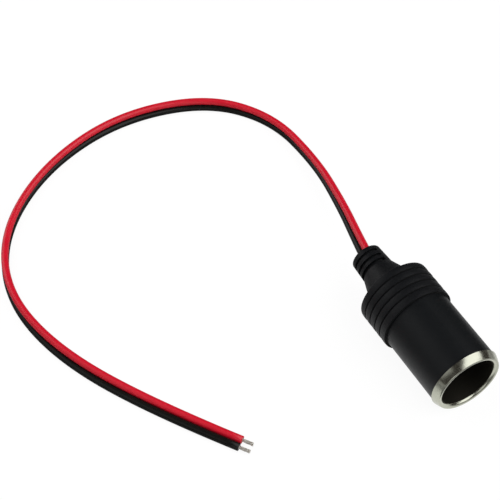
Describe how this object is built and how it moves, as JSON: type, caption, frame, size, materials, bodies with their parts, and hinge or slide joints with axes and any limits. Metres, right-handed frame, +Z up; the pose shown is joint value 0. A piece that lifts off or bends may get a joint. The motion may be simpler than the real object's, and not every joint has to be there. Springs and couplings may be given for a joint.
{
  "type": "car power socket",
  "caption": "In-line 12 V car power socket: rolled metal rim on a plain black sleeve, ribbed soft overmould with a slotted strain relief, and a red and black lead with stripped ends.",
  "frame": {"origin": "centre of the socket's mouth, on its axis, where the bore opens into the rolled rim; the rim's crown stands 0.6 mm in front of it", "axes": "+X out of the mouth along the socket's axis, +Z up from the surface that the collar and the lead lie on, +Y across"},
  "size_m": [0.1859, 0.1357, 0.0284],
  "materials": {
    "plated_steel": "bright nickel plate",
    "sleeve_plastic": "satin black",
    "soft_overmould": "matt black soft PVC",
    "insulator": "dark phenolic board",
    "contact_brass": "stamped",
    "solder": "reflowed tin",
    "red_jacket": "satin red PVC",
    "black_jacket": "satin black PVC",
    "tinned_copper": "tinned strands"
  },
  "bodies": {
    "root": {"contact_shell": "plated_steel", "front_sleeve": "sleeve_plastic", "rear_grip": "soft_overmould", "base_insulator": "insulator", "rear_washer": "insulator", "centre_contact": "contact_brass", "centre_rivet": "contact_brass", "positive_tag": "contact_brass", "negative_tag": "contact_brass", "positive_solder": "solder", "negative_solder": "solder", "red_insulation": "red_jacket", "black_insulation": "black_jacket", "red_conductor": "tinned_copper", "black_conductor": "tinned_copper"}
  },
  "joints": []
}
